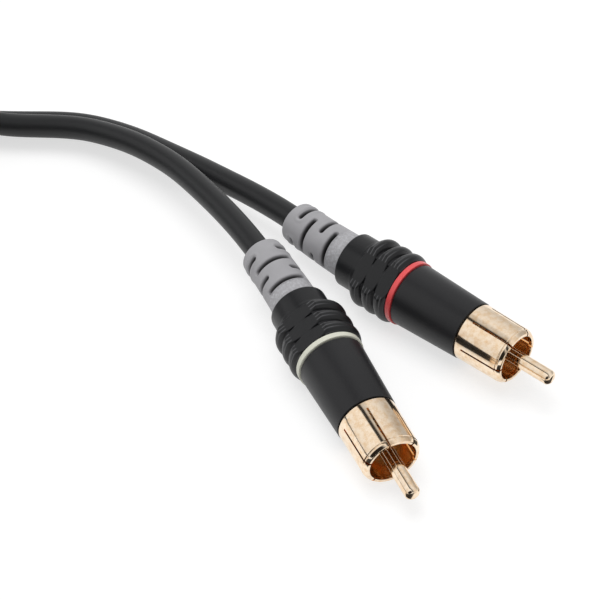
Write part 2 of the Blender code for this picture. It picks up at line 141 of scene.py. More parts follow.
FAR_WHITE_ROUTE = [
    (-156.8, 17.1, 20.05),
    (-156.8, 13.1, 20.05),
    (-154.4, 5.0, 18.9),
    (-149.0, -2.8, 16.2),
    (-142.0, -9.5, 12.9),
    (-134.3, -14.9, 10.2),
    (-127.46, -19.29, 9.17),
]
FAR_RED_ROUTE = [
    (-156.8, 17.1, 14.65),
    (-156.8, 13.1, 14.6),
    (-156.6, 5.0, 13.2),
    (-156.2, -3.6, 11.3),
    (-154.3, -12.6, 10.0),
    (-150.4, -20.4, 9.4),
    (-145.3, -26.6, 9.3),
    (-140.17, -32.03, 9.17),
]

# The winding: in on the outer turn at the table, inwards turn by turn, up to the second layer,
# outwards again, and off the outer turn. Angles are in degrees round the coil from where the
# cords come in.
COIL_CENTRE = (-125.4, 43.5)
OUTER_TURN = 31.4
RED_HEIGHT = 3.85
WHITE_HEIGHT = RED_HEIGHT + TURN_PITCH
TURN_CHANGES = [(290, 360, -1), (650, 720, -1), (1175, 1245, 1), (1535, 1605, 1)]
CLIMB = (875, 1035)
LEAVES = 1890
COIL_POINT_EVERY = 15


def eased(value, start, end):
    share = min(max((value - start) / (end - start), 0), 1)
    return share * share * (3 - 2 * share)


def coil_points(height):
    """One cord's place along the winding."""
    points = []
    for angle in range(COIL_POINT_EVERY, LEAVES, COIL_POINT_EVERY):
        radius = OUTER_TURN + sum(
            TURN_PITCH * way * eased(angle, start, end) for start, end, way in TURN_CHANGES
        )
        plan = math.radians(90 + angle)
        points.append(
            (
                COIL_CENTRE[0] + radius * math.cos(plan),
                COIL_CENTRE[1] + radius * math.sin(plan),
                height + 2 * TURN_PITCH * eased(angle, *CLIMB),
            )
        )
    return points


def smooth_line(route, step):
    """Points a step apart on a smooth curve through a route's points."""
    points = [Vector(point) for point in route]
    ends = [2 * points[0] - points[1], *points, 2 * points[-1] - points[-2]]
    fine = []
    for before, start, end, after in zip(ends, ends[1:], ends[2:], ends[3:]):
        for part in range(20):
            t = part / 20
            fine.append(
                0.5
                * (
                    2 * start
                    + (end - before) * t
                    + (2 * before - 5 * start + 4 * end - after) * t**2
                    + (3 * start - before - 3 * end + after) * t**3
                )
            )
    fine.append(points[-1])
    fine = np.array([tuple(point) for point in fine])
    runs = np.concatenate([[0], np.cumsum(np.linalg.norm(np.diff(fine, axis=0), axis=1))])
    stations = np.linspace(0, runs[-1], round(runs[-1] / step) + 1)
    line = np.stack([np.interp(stations, runs, fine[:, axis]) for axis in range(3)], axis=1)
    for _ in range(LINE_EASINGS):
        line[1:-1] = (line[:-2] + 2 * line[1:-1] + line[2:]) / 4
    return line


def unit(vectors):
    return vectors / np.linalg.norm(vectors, axis=-1, keepdims=True)


def cord_line(near, height, far):
    """A cord's whole centreline, with a short straight into the boot at each end."""
    near_in = Vector(near[0]) + (Vector(near[0]) - Vector(near[1])).normalized() * INTO_BOOT
    far_in = Vector(far[-1]) + (Vector(far[-1]) - Vector(far[-2])).normalized() * INTO_BOOT
    entry = (COIL_CENTRE[0], COIL_CENTRE[1] + OUTER_TURN, height)
    leave = (COIL_CENTRE[0] - OUTER_TURN, COIL_CENTRE[1], height + 2 * TURN_PITCH)
    route = [near_in, *near, entry, *coil_points(height), leave, *far, far_in]
    return smooth_line(route, CORD_STEP)


def grid_mesh(name, points, uvs=None, round_u=True, round_v=False):
    """A mesh through rows of points. round_u closes each row, round_v the whole in a ring."""
    rows, columns = points.shape[:2]
    mesh = bpy.data.meshes.new(name)
    faces, corners = [], []
    for row in range(rows if round_v else rows - 1):
        for column in range(columns if round_u else columns - 1):
            around = ((row, column), (row, column + 1), (row + 1, column + 1), (row + 1, column))
            corners.append(around)
            faces.append([row % rows * columns + column % columns for row, column in around])
    mesh.from_pydata((points.reshape(-1, 3) * MM).tolist(), [], faces)
    if uvs is not None:
        layer = mesh.uv_layers.new(name="UVMap")
        flat = [uvs(row, column) for face in corners for row, column in face]
        layer.data.foreach_set("uv", np.array(flat, dtype=np.float32).ravel())
    return mesh


def new_piece(name, mesh, material):
    piece = new_object(name, mesh)
    mesh.materials.clear()
    mesh.materials.append(material)
    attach(piece, "root")
    return piece


def shade(mesh, angle=40):
    mesh.shade_smooth()
    mesh.set_sharp_from_angle(angle=math.radians(angle))


def close_up(mesh, merge=0):
    """Merges doubles nearer than merge, fills open ends and turns all faces outwards."""
    shell = bmesh.new()
    shell.from_mesh(mesh)
    if merge:
        bmesh.ops.remove_doubles(shell, verts=shell.verts, dist=merge)
    open_edges = [edge for edge in shell.edges if edge.is_boundary]
    if open_edges:
        bmesh.ops.holes_fill(shell, edges=open_edges)
    bmesh.ops.recalc_face_normals(shell, faces=shell.faces)
    shell.to_mesh(mesh)
    shell.free()


def jacket(name, line, other):
    """A jacket swept along its line, with the web standing towards the other cord."""
    ways = unit(np.gradient(line, axis=0))
    offsets = other[None, :, :] - line[:, None, :]
    distances = np.linalg.norm(offsets, axis=2)
    nearest = distances.argmin(axis=1)
    towards = offsets[np.arange(len(line)), nearest]
    spacing = distances.min(axis=1)
    towards -= ways * (towards * ways).sum(axis=1, keepdims=True)
    towards = unit(towards)
    side = np.cross(ways, towards)
    radius = CORD_WIDTH / 2
    joined = np.clip((WEB_HOLDS_TO - spacing) / WEB_TEAR, 0, 1)
    web = np.where(joined > 0, (spacing / 2 - radius + WEB_LAP) * joined, 0)
    left = np.clip(1 - (spacing - RIDGE_FADES_FROM) / RIDGE_FADES_OVER, 0, 1)
    web = np.maximum(web, RIDGE * left)
    turns = np.linspace(0, 2 * math.pi, CORD_SIDES, endpoint=False)
    across = np.abs(np.sin(turns)) * radius
    fin = np.clip(1.25 - across / (WEB_THICKNESS / 2), 0, 1) * (np.cos(turns) > 0)
    reach = radius + fin[None, :] * web[:, None]
    points = (
        line[:, None, :]
        + towards[:, None, :] * (np.cos(turns)[None, :] * reach)[:, :, None]
        + side[:, None, :] * (np.sin(turns)[None, :] * radius)[:, :, None]
    )
    mesh = grid_mesh(
        name,
        points,
        uvs=lambda row, column: (column / CORD_SIDES * CORD_GIRTH, row * CORD_STEP),
    )
    close_up(mesh)
    shade(mesh, 60)
    return mesh


def set_inputs(node, inputs):
    """Each input gets a plain value, or a link where it is given another node's output."""
    for name, value in inputs.items():
        if isinstance(value, bpy.types.NodeSocket):
            node.id_data.links.new(value, node.inputs[name])
        else:
            node.inputs[name].default_value = value


def add_node(tree, kind, inputs=None, **settings):
    node = tree.nodes.new(kind)
    for name, value in settings.items():
        setattr(node, name, value)
    set_inputs(node, inputs or {})
    return node


def reckoned(tree, operation, *values):
    """The output of a Math node."""
    node = add_node(tree, "ShaderNodeMath", dict(enumerate(values)), operation=operation)
    return node.outputs[0]


def mixed(tree, share, first, second):
    """A colour between two, which is the first where the share is 0."""
    node = add_node(tree, "ShaderNodeMix", {0: share, 6: first, 7: second}, data_type="RGBA")
    return node.outputs[2]


def new_material(name):
    material = bpy.data.materials.new(name)
    material.use_nodes = True
    return material, material.node_tree, material.node_tree.nodes["Principled BSDF"]


def new_tree(name, kind, inputs, outputs):
    """An empty node tree with named sockets, and its input and output nodes."""
    tree = bpy.data.node_groups.new(name, kind)
    for label, sort, value in inputs:
        socket = tree.interface.new_socket(label, in_out="INPUT", socket_type=f"NodeSocket{sort}")
        if value is not None:
            socket.default_value = value
    for label, sort in outputs:
        tree.interface.new_socket(label, in_out="OUTPUT", socket_type=f"NodeSocket{sort}")
    return tree, tree.nodes.new("NodeGroupInput"), tree.nodes.new("NodeGroupOutput")


def noise(tree, spot, scale, detail, roughness=0.5):
    """The output of a Noise node."""
    inputs = {"Vector": spot, "Scale": scale, "Detail": detail, "Roughness": roughness}
    return add_node(tree, "ShaderNodeTexNoise", inputs).outputs["Fac"]


def ranged(tree, value, low, high, to_low=0.0, to_high=1.0):
    """A value's share of the way from low to high, as a number from to_low to to_high."""
    ends = {"From Min": low, "From Max": high, "To Min": to_low, "To Max": to_high}
    return add_node(tree, "ShaderNodeMapRange", {"Value": value, **ends}).outputs["Result"]


# Moulded plastic has a very fine grain, and handling leaves soft patches where it is a little
# shinier or duller. This effect gives a colour, a roughness and a height for all of the lead's
# plastics.
moulded, group_in, group_out = new_tree(
    "moulded surface",
    "ShaderNodeTree",
    [
        ("Color", "Color", (0.5, 0.5, 0.5, 1)),
        ("Roughness", "Float", 0.5),
        ("Grain Size", "Float", 6000.0),
        ("Patch Size", "Float", 220.0),
        ("Patch Strength", "Float", 0.06),
    ],
    [("Color", "Color"), ("Roughness", "Float"), ("Height", "Float")],
)
LIGHTER_BY_ROUGHNESS = 4.0
given = group_in.outputs
spot = add_node(moulded, "ShaderNodeTexCoord").outputs["Object"]
grain = noise(moulded, spot, given["Grain Size"], 3.0, 0.6)
patches = noise(moulded, spot, given["Patch Size"], 4.0, 0.55)
swing = reckoned(moulded, "SUBTRACT", patches, 0.5)
shift = reckoned(moulded, "MULTIPLY", swing, given["Patch Strength"])
lighter = reckoned(moulded, "MULTIPLY_ADD", shift, LIGHTER_BY_ROUGHNESS, 1.0)
tint = add_node(
    moulded, "ShaderNodeVectorMath", {0: given["Color"], "Scale": lighter}, operation="SCALE"
)
set_inputs(
    group_out,
    {
        "Color": tint.outputs[0],
        "Roughness": reckoned(moulded, "ADD", given["Roughness"], shift),
        "Height": grain,
    },
)


def plastic(name, colour, roughness, grain_size, patch_size, patch_strength, bump, specular=0.5):
    """A plastic or rubber with the moulded surface's grain and patches, and a bump in mm."""
    material, tree, shader = new_material(name)
    surface = add_node(
        tree,
        "ShaderNodeGroup",
        {
            "Color": (*colour, 1),
            "Roughness": roughness,
            "Grain Size": grain_size,
            "Patch Size": patch_size,
            "Patch Strength": patch_strength,
        },
        node_tree=moulded,
    )
    relief = add_node(
        tree,
        "ShaderNodeBump",
        {"Height": surface.outputs["Height"], "Strength": 1.0, "Distance": bump * MM},
    )
    set_inputs(
        shader,
        {
            "Base Color": surface.outputs["Color"],
            "Roughness": surface.outputs["Roughness"],
            "Normal": relief.outputs["Normal"],
            "Specular IOR Level": specular,
        },
    )
    return material


cord_pvc = plastic("cord PVC", (0.01, 0.0104, 0.0114), 0.48, 5200, 160, 0.08, 0.003, 0.33)
set_inputs(
    cord_pvc.node_tree.nodes["Principled BSDF"],
    {"Coat Weight": 0.2, "Coat Roughness": 0.4, "Sheen Weight": 0.7, "Sheen Roughness": 0.15},
)

white_line = cord_line(NEAR_WHITE_ROUTE, WHITE_HEIGHT, FAR_WHITE_ROUTE)
red_line = cord_line(NEAR_RED_ROUTE, RED_HEIGHT, FAR_RED_ROUTE)
white_cord = new_piece(
    "white_cord", jacket("white_cord", white_line, red_line), cord_pvc
)
red_cord = new_piece("red_cord", jacket("red_cord", red_line, white_line), cord_pvc)
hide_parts("near_white_cord", "coil", "far_white_cord")
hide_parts("near_red_cord", "coil", "far_red_cord")

# Where the plugs lie
# Each plug is laid by its colour ring's middle and the way that its mouth faces. In the frame of
# a plug, Z runs towards the tip from the ring's front edge, and X is up.
RING_WIDTH = 1.05
SLIT_TURNS = {"near_white": 12, "near_red": 27, "far_white": 0, "far_red": 20}
PAD_TURNS = {"near_white": 34, "near_red": 45, "far_white": 20, "far_red": 15}
SLOT_TURNS = {"near_white": 11, "near_red": 60, "far_white": 20, "far_red": 60}
BENDS = {"near_white": 0.63, "near_red": -0.92, "far_white": 0, "far_red": 0}
facings = {mount["name"]: Vector(mount["axis"]) for mount in frame["record"]["mounts"]}
plug_places = {}
for plug in SLIT_TURNS:
    low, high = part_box(f"{plug}_ring")
    nose = facings[f"{plug}_mouth"].normalized()
    top = (Vector((0, 0, 1)) - nose * nose.z).normalized()
    place = Matrix((top, nose.cross(top), nose)).transposed().to_4x4()
    place.translation = (Vector(low) + Vector(high)) / 2 + nose * (RING_WIDTH / 2 * MM)
    plug_places[plug] = place


def filleted(corners, steps=4):
    """An outline with each (radius, station, fillet) corner rounded."""
    outline = []
    count = len(corners)
    for index, (radius, station, fillet) in enumerate(corners):
        here = np.array((radius, station), dtype=float)
        if fillet == 0:
            outline.append(here)
            continue
        before = np.array(corners[index - 1][:2], dtype=float) - here
        after = np.array(corners[(index + 1) % count][:2], dtype=float) - here
        reach = min(fillet, np.linalg.norm(before) * 0.45, np.linalg.norm(after) * 0.45)
        start, end = here + unit(before) * reach, here + unit(after) * reach
        for number in range(steps + 1):
            t = number / steps
            outline.append((1 - t) ** 2 * start + 2 * t * (1 - t) * here + t**2 * end)
    return np.array(outline)


def turned_mesh(name, outline, sides, place, shape=None, angle=40):
    """A turned piece in a plug's frame, from an outline that closes round its wall."""
    turns = np.linspace(0, 2 * math.pi, sides, endpoint=False)
    radii = np.repeat(outline[:, :1], sides, axis=1)
    stations = np.repeat(outline[:, 1:], sides, axis=1)
    if shape is not None:
        radii = shape(radii, stations, np.degrees(turns)[None, :])
    points = np.stack([radii * np.cos(turns), radii * np.sin(turns), stations], axis=2)
    usual = outline[:, 0].max()
    along = np.concatenate([outline[:, 1], outline[:1, 1]])
    mesh = grid_mesh(
        name,
        points,
        uvs=lambda row, column: (column / sides * 2 * math.pi * usual, along[row]),
        round_v=True,
    )
    close_up(mesh, merge=0.002 * MM)
    mesh.transform(place)
    shade(mesh, angle)
    return mesh


# Gold plate
# Brass, turned on an automatic lathe, then nickel and flash gold plated. The gold is a pale rose,
# mottled where it is thin, and redder down the bore, where the plating hardly reaches.
gold, tree, shader = new_material("gold plate")
coordinates = add_node(tree, "ShaderNodeTexCoord").outputs
mottling = noise(tree, coordinates["Object"], 900.0, 5.0, 0.65)
colours = add_node(tree, "ShaderNodeValToRGB", {"Fac": mottling})
for stop, position, colour in zip(
    colours.color_ramp.elements, (0.36, 0.58), ((0.85, 0.62, 0.4, 1), (0.95, 0.79, 0.61, 1))
):
    stop.position = position
    stop.color = colour
stains = noise(tree, coordinates["Object"], 330.0, 3.0, 0.6)
stained = ranged(tree, stains, 0.58, 0.74, to_high=0.5)
dulled = ranged(tree, mottling, 0, 1, to_low=0.12, to_high=0.06)
# Down the bore, which its attribute marks, the plate is redder and duller.
bore = add_node(tree, "ShaderNodeAttribute", attribute_name="bore").outputs["Fac"]
thin = mixed(tree, stained, colours.outputs["Color"], (0.62, 0.36, 0.18, 1))
roughness = add_node(tree, "ShaderNodeMix", {0: bore, 2: dulled, 3: 0.24})
# The lathe leaves fine rings round the axis.
squeeze = add_node(
    tree, "ShaderNodeMapping", {"Vector": coordinates["UV"], "Scale": (0.02, 9.0, 1)}
)
rings = noise(tree, squeeze.outputs["Vector"], 1.0, 2.0)
relief = add_node(
    tree, "ShaderNodeBump", {"Height": rings, "Strength": 0.25, "Distance": 0.0015 * MM}
)
set_inputs(
    shader,
    {
        "Metallic": 1.0,
        "Base Color": mixed(tree, bore, thin, (0.93, 0.56, 0.25, 1)),
        "Roughness": roughness.outputs[0],
        "Normal": relief.outputs["Normal"],
    },
)

# Pin
# The centre contact: a plain turned pin of gold-plated brass with a blunt, domed tip. Behind
# the insulator it ends in a solder cup.
PIN_RADIUS = 1.45
TIP = 33.8
MOUTH = 25.7
INSULATOR_FRONT = 16.3
INSULATOR_REAR = 8.3
SOLDER_CUP_REAR = 4.7
GAP = 0.3

for plug, place in plug_places.items():
    outline = filleted(
        [
            (0, TIP, 0),
            (1.0, TIP, 0.25),
            (PIN_RADIUS, TIP - 0.5, 0.3),
            (PIN_RADIUS, INSULATOR_FRONT + GAP, 0.05),
            (PIN_RADIUS - GAP, INSULATOR_FRONT + GAP, 0),
            (PIN_RADIUS - GAP, INSULATOR_REAR - GAP, 0),
            (PIN_RADIUS, INSULATOR_REAR - GAP, 0.05),
            (PIN_RADIUS, SOLDER_CUP_REAR, 0.1),
            (0.8, SOLDER_CUP_REAR, 0.1),
            (0.8, INSULATOR_REAR - 1, 0),
            (0, INSULATOR_REAR - 1, 0),
        ]
    )
    mesh = turned_mesh(f"{plug}_pin_plated", outline, 48, place)
    pin = new_piece(f"{plug}_pin_plated", mesh, gold)
    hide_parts(f"{plug}_pin")

# Insulator
# A cream nylon bush, moulded with a rounded front edge. It is pressed into the sleeve's neck
# and holds the pin in the middle.
bush_nylon = plastic("bush nylon", (0.78, 0.68, 0.46), 0.4, 3000, 200, 0.05, 0.004)
BUSH_RADIUS = 3.9
for plug, place in plug_places.items():
    outline = filleted(
        [
            (PIN_RADIUS - 0.05, INSULATOR_FRONT, 0),
            (2.3, INSULATOR_FRONT, 0.3),
            (2.5, INSULATOR_FRONT - 0.5, 0.2),
            (BUSH_RADIUS, INSULATOR_FRONT - 0.5, 0.2),
            (BUSH_RADIUS, INSULATOR_REAR, 0.2),
            (PIN_RADIUS - 0.05, INSULATOR_REAR, 0),
        ]
    )
    mesh = turned_mesh(f"{plug}_bush", outline, 48, place)
    bush = new_piece(f"{plug}_bush", mesh, bush_nylon)
    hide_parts(f"{plug}_insulator")

# Sleeve
# The outer contact: a turned cup, sawn into six fingers from the mouth, with a rolled lip that
# bites on the socket. One finger is made, and the tree below sets it round the axis.
FINGERS = 6
SLIT_WIDTH = 0.4
SLIT_REAR = 16.9
SLEEVE_SHOULDER = 15.43
SLEEVE_REAR = 6.0
NECK_RADIUS = 4.95
NECK_BORE = 4.2
SLEEVE_BORE = 4.95


def finger_mesh(name):
    """One finger of the sleeve with its share of the wall behind it, from slit to slit."""
    corners = [
        (4.55, MOUTH, 0.1),
        (5.06, MOUTH, 0.16),
        (5.5, MOUTH - 0.62, 0.2),
        (5.52, MOUTH - 0.86, 0.06),
        (5.44, MOUTH - 0.92, 0.03),
        (5.44, MOUTH - 1.0, 0.03),
        (5.6, MOUTH - 1.08, 0.06),
        (5.78, SLEEVE_SHOULDER, 0.1),
        (NECK_RADIUS, SLEEVE_SHOULDER, 0),
        (NECK_RADIUS, SLEEVE_REAR, 0.1),
        (NECK_BORE, SLEEVE_REAR, 0.1),
        (NECK_BORE, INSULATOR_FRONT, 0),
        (SLEEVE_BORE, INSULATOR_FRONT, 0.15),
        (SLEEVE_BORE, MOUTH - 1.1, 0.2),
        (4.5, MOUTH - 0.7, 0.1),
        (4.5, MOUTH - 0.1, 0.06),
    ]
    outline = filleted(corners)
    divided = []
    for start, end in zip(outline, np.roll(outline, -1, axis=0)):
        divided.append(start)
        low, high = sorted((start[1], end[1]))
        if low < SLIT_REAR < high:
            share = (SLIT_REAR - start[1]) / (end[1] - start[1])
            divided.append(start + (end - start) * share)
    outline = np.array(divided)
    half_slit = SLIT_WIDTH / 2
    edge = 0.05
    columns = 18
    finger = bmesh.new()
    deep = finger.verts.layers.float.new("bore")
    unrolled = finger.loops.layers.uv.new("UVMap")
    rows = []
    for radius, station in outline:
        gap = math.asin(half_slit / radius)
        bevel = math.asin((half_slit + edge) / radius)
        inner = np.linspace(bevel, 2 * math.pi / FINGERS - bevel, columns)
        turns = [0, gap, *inner, 2 * math.pi / FINGERS - gap, 2 * math.pi / FINGERS]
        row = []
        for turn in turns:
            spot = (radius * math.cos(turn) * MM, radius * math.sin(turn) * MM, station * MM)
            row.append(finger.verts.new(spot))
        rows.append(row)
    count = len(rows)
    for index in range(count):
        here, there = rows[index], rows[(index + 1) % count]
        slit = min(outline[index][1], outline[(index + 1) % count][1]) > SLIT_REAR - 1e-6
        last = len(here) - 2
        for column in range(last + 1):
            if slit and column in (0, last):
                continue
            finger.faces.new((here[column], here[column + 1], there[column + 1], there[column]))
    open_rows = [i for i in range(count) if outline[i][1] > SLIT_REAR - 1e-6]
    start = next(i for i in open_rows if (i - 1) % count not in open_rows)
    order = [(start + number) % count for number in range(len(open_rows))]
    for column in (1, -2):
        finger.faces.new([rows[index][column] for index in order])
    for column in (0, -2):
        finger.faces.new(
            (
                rows[order[0]][column],
                rows[order[0]][column + 1],
                rows[order[-1]][column + 1],
                rows[order[-1]][column],
            )
        )
    bmesh.ops.recalc_face_normals(finger, faces=finger.faces)
    for row, (radius, station) in zip(rows, outline):
        for vertex in row:
            inside = INSULATOR_FRONT - 0.2 < station < MOUTH - 0.3
            vertex[deep] = float(inside and radius < SLEEVE_BORE + 0.03)
    for face in finger.faces:
        for loop in face.loops:
            x, y, z = loop.vert.co / MM
            loop[unrolled].uv = (math.atan2(y, x) * SLEEVE_BORE, z)
    mesh = bpy.data.meshes.new(name)
    finger.to_mesh(mesh)
    finger.free()
    return mesh


def grown(name, mesh, tree, values):
    """The plain mesh that a geometry tree makes from a mesh, with the tree's inputs set by name."""
    carrier = new_object(name, mesh)
    modifier = carrier.modifiers.new("grown", "NODES")
    modifier.node_group = tree
    for item in tree.interface.items_tree:
        if item.item_type == "SOCKET" and item.in_out == "INPUT" and item.name in values:
            modifier[item.identifier] = values[item.name]
    bpy.context.view_layer.update()
    evaluated = carrier.evaluated_get(bpy.context.evaluated_depsgraph_get())
    result = bpy.data.meshes.new_from_object(evaluated)
    bpy.data.objects.remove(carrier)
    result.name = name
    return result


crown, crown_in, crown_out = new_tree(
    "fingers round the axis",
    "GeometryNodeTree",
    [
        ("Geometry", "Geometry", None),
        ("Count", "Int", FINGERS),
        ("First Turn", "Float", 0.0),
        ("Merge Distance", "Float", 0.000002),
        ("Material", "Material", None),
    ],
    [("Geometry", "Geometry")],
)
given = crown_in.outputs
spots = add_node(crown, "GeometryNodePoints", {"Count": given["Count"]})
number = add_node(crown, "GeometryNodeInputIndex").outputs["Index"]
whole_turns = reckoned(crown, "MULTIPLY", number, 2 * math.pi)
turn_each = reckoned(crown, "DIVIDE", whole_turns, given["Count"])
about_axis = add_node(
    crown, "ShaderNodeCombineXYZ", {"Z": reckoned(crown, "ADD", turn_each, given["First Turn"])}
)
copies = add_node(
    crown,
    "GeometryNodeInstanceOnPoints",
    {"Points": spots.outputs[0], "Instance": given["Geometry"], "Rotation": about_axis.outputs[0]},
)
real = add_node(crown, "GeometryNodeRealizeInstances", {"Geometry": copies.outputs["Instances"]})
merged = add_node(
    crown,
    "GeometryNodeMergeByDistance",
    {"Geometry": real.outputs["Geometry"], "Distance": given["Merge Distance"]},
)
finished = add_node(
    crown,
    "GeometryNodeSetMaterial",
    {"Geometry": merged.outputs["Geometry"], "Material": given["Material"]},
)
set_inputs(crown_out, {"Geometry": finished.outputs["Geometry"]})

for plug, place in plug_places.items():
    mesh = grown(
        f"{plug}_sleeve_plated",
        finger_mesh(f"{plug}_finger"),
        crown,
        {"Count": FINGERS, "First Turn": math.radians(SLIT_TURNS[plug]), "Material": gold},
    )
    mesh.transform(place)
    shade(mesh, 30)
    sleeve = new_piece(f"{plug}_sleeve_plated", mesh, gold)
    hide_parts(f"{plug}_sleeve")

# Shell
# The black moulded housing, a tapered barrel with a satin face. Its rear stub runs through the
# colour ring into the nut.
SHELL_FRONT = 15.1
SHELL_REAR = 0.25
STUB_RADIUS = 5.0
STUB_REAR = -8.0
shell_plastic = plastic("shell plastic", (0.012, 0.012, 0.0135), 0.42, 4200, 130, 0.1, 0.003, 0.38)
for plug, place in plug_places.items():
    outline = filleted(
        [
            (NECK_RADIUS + 0.25, SHELL_FRONT, 0.1),
            (5.86, SHELL_FRONT, 0.15),
            (6.4, SHELL_REAR, 0.12),
            (STUB_RADIUS, SHELL_REAR, 0),
            (STUB_RADIUS, STUB_REAR, 0.2),
            (NECK_BORE, STUB_REAR, 0.1),
            (NECK_BORE, SLEEVE_REAR - 0.6, 0),
            (NECK_RADIUS + 0.25, SLEEVE_REAR - 0.6, 0),
        ]
    )
    mesh = turned_mesh(f"{plug}_barrel", outline, 128, place)
    barrel = new_piece(f"{plug}_barrel", mesh, shell_plastic)
    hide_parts(f"{plug}_shell")

# Colour ring
# A thin moulded ring, cream for the left channel and red for the right, trapped between the
# shell and the nut and standing just proud of them.
ring_plastics = {
    "white": plastic("cream ring", (0.74, 0.74, 0.63), 0.35, 3000, 200, 0.04, 0.003),
    "red": plastic("red ring", (0.82, 0.09, 0.095), 0.33, 3000, 200, 0.04, 0.003),
}
RING_RADIUS = 6.66
for plug, place in plug_places.items():
    colour = plug.split("_")[1]
    outline = filleted(
        [
            (STUB_RADIUS + 0.1, 0, 0),
            (RING_RADIUS, 0, 0.09),
            (RING_RADIUS, -RING_WIDTH, 0.09),
            (STUB_RADIUS + 0.1, -RING_WIDTH, 0),
        ]
    )
    mesh = turned_mesh(f"{plug}_colour_ring", outline, 128, place)
    ring = new_piece(f"{plug}_colour_ring", mesh, ring_plastics[colour])
    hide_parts(f"{plug}_ring")

# Grip nut
# The moulded nut that screws on the shell's stub and squeezes the chuck. Three fat ribs go round
# it, cut away by a sloping flat on each side for the thumb and the finger.
NUT_FRONT = -1.3
NUT_REAR = -15.0
COLLAR_REAR = -10.6
COLLAR_RADIUS = 5.66
PAD_FRONT = 6.25
RIBS = 3
RIB_RADIUS = 7.28
RIB_PITCH = 3.1
RIB_WIDTH = 2.8
RIB_FLATNESS = 2.2
RIB_FULLNESS = 0.6
GROOVE_OVER_PAD = 0.07
STEP_HEIGHT = 0.13  # the mould's fine steps where the ribs run out beside a flat
STEPS_TO_A_RIB = 4
EDGE_SOFTNESS = 0.05
NUT_BORE = 5.5
NUT_SEAT_BORE = 5.0
NUT_SEAT = -10.7
grip_plastic = plastic("grip plastic", (0.0065, 0.0068, 0.008), 0.38, 2400, 130, 0.1, 0.03, 0.38)

# The crests of those steps are painted paler: partly rubbed, and partly a painted highlight where
# they would catch the light.
tree = grip_plastic.node_tree
shader = tree.nodes["Principled BSDF"]
crest_rub_and_highlight = add_node(tree, "ShaderNodeAttribute", attribute_name="crest_rub_and_highlight").outputs["Fac"]
surface = shader.inputs["Base Color"].links[0].from_socket
set_inputs(shader, {"Base Color": mixed(tree, crest_rub_and_highlight, surface, (0.09, 0.09, 0.095, 1))})


def from_pad(turns, pad_turn):
    """The degrees round from the middle of the nearer pad."""
    return np.abs((turns - pad_turn + 90) % 180 - 90)


def fine_steps(stations, turns, pad_turn):
    """How high the steps stand: full from 26 to 36 degrees off a pad, and gone at 20 and 64."""
    off = from_pad(turns, pad_turn)
    fade = np.clip((off - 20) / 6, 0, 1) * np.clip((64 - off) / 28, 0, 1) * (stations > COLLAR_REAR)
    crests = np.cos((stations - NUT_FRONT) * 2 * math.pi * STEPS_TO_A_RIB / RIB_PITCH)
    return fade * np.maximum(crests, 0) ** 3


def nut_outer(stations, turns, pad_turn):
    """The nut's outer radius: fat ribs with narrow grooves, cut by the two sloping pads."""
    pad = COLLAR_RADIUS + (PAD_FRONT - COLLAR_RADIUS) * np.clip(
        (stations - COLLAR_REAR) / (NUT_FRONT - COLLAR_REAR), 0, 1
    )
    groove = pad + GROOVE_OVER_PAD
    rib = groove.copy()
    for number in range(RIBS):
        middle = NUT_FRONT - RIB_WIDTH / 2 - number * RIB_PITCH
        away = np.abs(stations - middle) / (RIB_WIDTH / 2)
        bump = np.clip(1 - away**RIB_FLATNESS, 0, 1) ** RIB_FULLNESS
        rib = np.maximum(rib, groove + (RIB_RADIUS - groove) * bump)
    rib = np.where(stations < COLLAR_REAR - 0.4, COLLAR_RADIUS, rib)
    flat = pad / np.cos(np.radians(np.minimum(from_pad(turns, pad_turn), 60)))
    rib = np.minimum(rib + STEP_HEIGHT * fine_steps(stations, turns, pad_turn), RIB_RADIUS)
    rounding = EDGE_SOFTNESS * np.exp(-np.abs(rib - flat) / EDGE_SOFTNESS) * 0.5
    return np.minimum(rib, flat) - rounding


for plug, place in plug_places.items():
    stations = np.concatenate(
        [
            np.linspace(NUT_FRONT, COLLAR_REAR - 0.4, 150),
            np.linspace(COLLAR_REAR - 0.6, NUT_REAR + 0.4, 12),
        ]
    )
    outer = np.stack([np.full_like(stations, 6.0), stations], axis=1)
    rear = filleted(
        [
            (COLLAR_RADIUS, NUT_REAR + 0.8, 0),
            (COLLAR_RADIUS, NUT_REAR, 0.35),
            (NUT_SEAT_BORE, NUT_REAR, 0),
        ]
    )
    inner = np.array([(NUT_SEAT_BORE, NUT_SEAT), (NUT_BORE, NUT_SEAT), (NUT_BORE, NUT_FRONT)])
    outline = np.concatenate([outer, rear[1:], inner])

    def nut_shape(radii, stations, turns, count=len(outer), pad_turn=PAD_TURNS[plug]):
        shaped = radii.copy()
        turns = np.repeat(turns, count, axis=0)
        shaped[:count] = nut_outer(stations[:count], turns, pad_turn)
        shaped[0] = np.minimum(shaped[0], shaped[3]) - 0.15  # the front edge is broken
        return shaped

    mesh = turned_mesh(f"{plug}_grip", outline, 224, Matrix.Identity(4), nut_shape, angle=50)
    spots = np.empty(3 * len(mesh.vertices))
    mesh.vertices.foreach_get("co", spots)
    x, y, z = spots.reshape(-1, 3).T / MM
    turns = np.degrees(np.arctan2(y, x))
    # Where the step crests are painted paler, with their rubbing and a painted highlight.
    crest_rub_and_highlight_share = fine_steps(z, turns, PAD_TURNS[plug]) * (from_pad(turns, PAD_TURNS[plug]) > 27)
    crest_rub_and_highlight_share = crest_rub_and_highlight_share * (np.hypot(x, y) > COLLAR_RADIUS)
    mesh.attributes.new("crest_rub_and_highlight", "FLOAT", "POINT").data.foreach_set("value", crest_rub_and_highlight_share)
    mesh.transform(place)
    grip = new_piece(f"{plug}_grip", mesh, grip_plastic)
    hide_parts(f"{plug}_nut")

